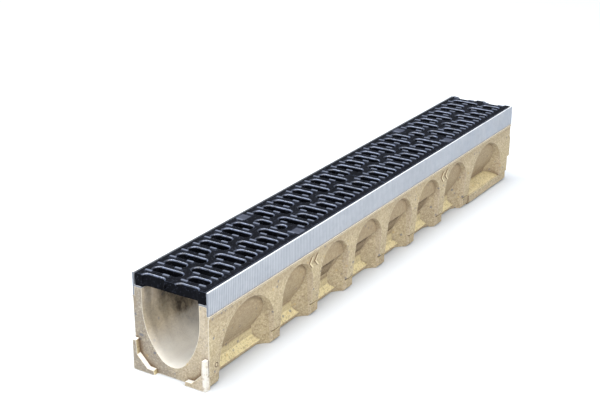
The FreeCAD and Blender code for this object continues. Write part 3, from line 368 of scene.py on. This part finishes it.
# ------------------------------------------------------------ ductile iron
def iron():
    t = Tree("black_ductile_iron")
    v = t.obj()
    cloud = t.noise(v, 35.0, 5.0, 0.6)
    base = t.ramp(cloud, [(0.3, (0.0030, 0.0033, 0.0045)), (0.7, (0.0075, 0.0082, 0.0112))])
    spec = t.voronoi(v, 620.0)
    s = t.sep(spec.outputs["Color"])[0]
    base = t.mix(t.math("MULTIPLY", t.ramp(s, [(0.90, 0.0), (0.97, 1.0)]), 0.35), base, srgb(70, 74, 88))
    # painted highlight: upward-facing arrises lightened a little
    edge_highlight = t.math("MULTIPLY", edge_mask(t, 0.0022, 0.90, 0.992),
                   t.ramp(t.noise(v, 70.0, 4.0, 0.6), [(0.35, 0.3), (0.65, 1.0)]))
    lit_top = t.ramp(t.sep(t.geo.outputs["Normal"])[2], [(0.15, 0.0), (0.45, 1.0)])
    base = t.mix(t.math("MULTIPLY", t.math("MULTIPLY", edge_highlight, lit_top), 0.40), base, srgb(104, 114, 138))
    # painted highlight: fillets facing the front lightened blue-grey as a sheen
    nz = t.sep(t.geo.outputs["Normal"])[2]
    fil = t.math("MULTIPLY", t.ramp(nz, [(0.30, 0.0), (0.62, 1.0)]), t.ramp(nz, [(0.94, 1.0), (0.99, 0.0)]))
    sheen_breakup = t.math("MULTIPLY", t.ramp(t.noise(v, 130.0, 4.0, 0.6), [(0.36, 0.25), (0.60, 1.0)]),
                  t.ramp(t.math("MULTIPLY", t.sep(t.geo.outputs["Normal"])[1], -1.0), [(0.05, 0.25), (0.45, 1.0)]))
    base = t.mix(t.math("MULTIPLY", t.math("MULTIPLY", fil, sheen_breakup), 0.66), base, srgb(122, 133, 160))
    # raised nub tops lightened: partly polish from traffic, partly painted highlight
    nub = t.ramp(t.sep(v)[2], [(0.1505, 0.0), (0.1516, 1.0)])
    base = t.mix(t.math("MULTIPLY", nub, 0.42), base, srgb(140, 148, 168))
    t.link(base, t.bsdf.inputs["Base Color"])
    coat = t.math("MULTIPLY", t.ramp(nz, [(0.10, 0.0), (0.40, 1.0)]), t.ramp(nz, [(0.955, 1.0), (0.994, 0.04)]))
    coat = t.math("MULTIPLY", t.math("MAXIMUM", coat, nub), t.ramp(t.noise(v, 60.0, 3.0, 0.6), [(0.30, 0.75), (0.65, 1.0)]))
    t.link(coat, t.bsdf.inputs["Coat Weight"])
    t.bsdf.inputs["Coat Roughness"].default_value = 0.34
    t.bsdf.inputs["Coat IOR"].default_value = 1.6
    r = t.ramp(t.noise(v, 150.0, 3.0), [(0.3, 0.20), (0.7, 0.34)])
    t.link(r, t.bsdf.inputs["Roughness"])
    t.bsdf.inputs["Specular IOR Level"].default_value = 0.08
    t.bsdf.inputs["IOR"].default_value = 1.22
    b = t.bump(t.noise(v, 520.0, 4.0, 0.6), 0.14, 0.0003)
    b = t.bump(t.noise(v, 75.0, 3.0, 0.5), 0.16, 0.0010, b)
    t.link(b, t.bsdf.inputs["Normal"])
    return t.mat


def clip_plastic():
    t = Tree("clip_polyamide")
    v = t.obj()
    cloud = t.noise(v, 120.0, 4.0, 0.6)
    base = t.ramp(cloud, [(0.3, srgb(50, 53, 64)), (0.7, srgb(66, 70, 84))])
    # painted highlight: arrises lightened
    edge_highlight = edge_mask(t, 0.0008, 0.90, 0.99)
    base = t.mix(t.math("MULTIPLY", edge_highlight, 0.4), base, srgb(128, 134, 150))
    t.link(base, t.bsdf.inputs["Base Color"])
    t.link(t.ramp(cloud, [(0.2, 0.38), (0.8, 0.52)]), t.bsdf.inputs["Roughness"])
    t.link(t.bump(t.noise(v, 900.0, 3.0), 0.3, 0.0003), t.bsdf.inputs["Normal"])
    return t.mat


MATS = {
    "channel_body": concrete(),
    "edge_rail_left": galvanised(),
    "edge_rail_right": galvanised(),
    "grate_near": iron(),
    "grate_far": iron(),
    "lock_clip_near_left": clip_plastic(),
    "lock_clip_near_right": clip_plastic(),
    "lock_clip_far_left": clip_plastic(),
    "lock_clip_far_right": clip_plastic(),
}
for node, mat in MATS.items():
    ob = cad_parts[node]
    if isinstance(ob, str):
        ob = bpy.data.objects[ob]
    ob.data.materials.clear()
    ob.data.materials.append(mat)

# ------------------------------------------------------------------- stage
lo, hi = CAD_BOX
floor_z = lo[2]
me = bpy.data.meshes.new("floor")
s = 9.0
me.from_pydata([(-s, -s, floor_z - 0.0004), (s, -s, floor_z - 0.0004), (s, s, floor_z - 0.0004), (-s, s, floor_z - 0.0004)],
               [], [(0, 1, 2, 3)])
floor = bpy.data.objects.new("floor", me)
bpy.context.scene.collection.objects.link(floor)
fm = bpy.data.materials.new("floor_white")
fm.use_nodes = True
fb = fm.node_tree.nodes["Principled BSDF"]
fb.inputs["Base Color"].default_value = (0.660, 0.686, 0.716, 1.0)
fb.inputs["Roughness"].default_value = 0.9
fb.inputs["Specular IOR Level"].default_value = 0.1
me.materials.append(fm)

# soft studio: a broad overhead light, a dimmer wall of light low down
world = bpy.data.worlds.new("studio")
bpy.context.scene.world = world
world.use_nodes = True
wn = world.node_tree.nodes
wl = world.node_tree.links
bg = wn["Background"]
wtc = wn.new("ShaderNodeTexCoord")
wsep = wn.new("ShaderNodeSeparateXYZ")
wl.new(wtc.outputs["Generated"], wsep.inputs[0])
wr = wn.new("ShaderNodeValToRGB")
wr.color_ramp.elements[0].position = 0.20
wr.color_ramp.elements[0].color = (0.11, 0.12, 0.14, 1.0)
wr.color_ramp.elements[1].position = 0.75
wr.color_ramp.elements[1].color = (0.62, 0.66, 0.72, 1.0)
wl.new(wsep.outputs[2], wr.inputs[0])
wl.new(wr.outputs[0], bg.inputs["Color"])
bg.inputs["Strength"].default_value = 1.0


def area(name, loc, target, size, power, color=(1, 1, 1)):
    d = bpy.data.lights.new(name, "AREA")
    d.shape = "RECTANGLE"
    d.size, d.size_y = size
    d.energy = power
    d.color = color
    o = bpy.data.objects.new(name, d)
    bpy.context.scene.collection.objects.link(o)
    o.location = loc
    dirv = Vector(target) - Vector(loc)
    o.rotation_euler = dirv.to_track_quat("-Z", "Y").to_euler()
    return o


def sun(name, direction, strength, angle, color=(1, 1, 1)):
    d = bpy.data.lights.new(name, "SUN")
    d.energy = strength
    d.angle = math.radians(angle)
    d.color = color
    o = bpy.data.objects.new(name, d)
    bpy.context.scene.collection.objects.link(o)
    o.rotation_euler = Vector(direction).to_track_quat("-Z", "Y").to_euler()
    return o


sun("overhead", (0.03, 0.10, -1.0), 2.1, 26.0, (1.0, 0.99, 0.975))
area("left", (-1.35, -0.20, 2.25), (0, 0, 0.1), (0.30, 1.7), 52.0, (0.90, 0.95, 1.0))
area("right", (1.85, -0.55, 2.15), (0, 0, 0.06), (0.50, 0.65), 44.0, (1.0, 0.985, 0.965))
area("front", (0.5, -2.8, 0.9), (0, -0.3, 0.05), (1.0, 0.8), 17.0, (1.0, 0.985, 0.97))

# ------------------------------------------------------------------ camera
cam_d = bpy.data.cameras.new("camera")
cam_d.sensor_fit = "HORIZONTAL"
cam_d.sensor_width = 36.0
cam_d.lens = 77.80
cam_d.clip_start = 0.05
cam_d.clip_end = 50.0
cam = bpy.data.objects.new("camera", cam_d)
bpy.context.scene.collection.objects.link(cam)
az, el, dist = math.radians(32.721), math.radians(21.680), 2.2578
tgt = Vector((-0.10646, 0.004, 0.08058))
back = Vector((math.sin(az) * math.cos(el), -math.cos(az) * math.cos(el), math.sin(el)))
right = Vector((math.cos(az), math.sin(az), 0.0))
up = back.cross(right)
m = Matrix((
    (right.x, up.x, back.x, 0.0),
    (right.y, up.y, back.y, 0.0),
    (right.z, up.z, back.z, 0.0),
    (0.0, 0.0, 0.0, 1.0)))
m.translation = tgt + back * dist
cam.matrix_world = m
bpy.context.scene.camera = cam
bpy.context.scene.view_settings.view_transform = "Standard"
bpy.context.scene.view_settings.look = "None"
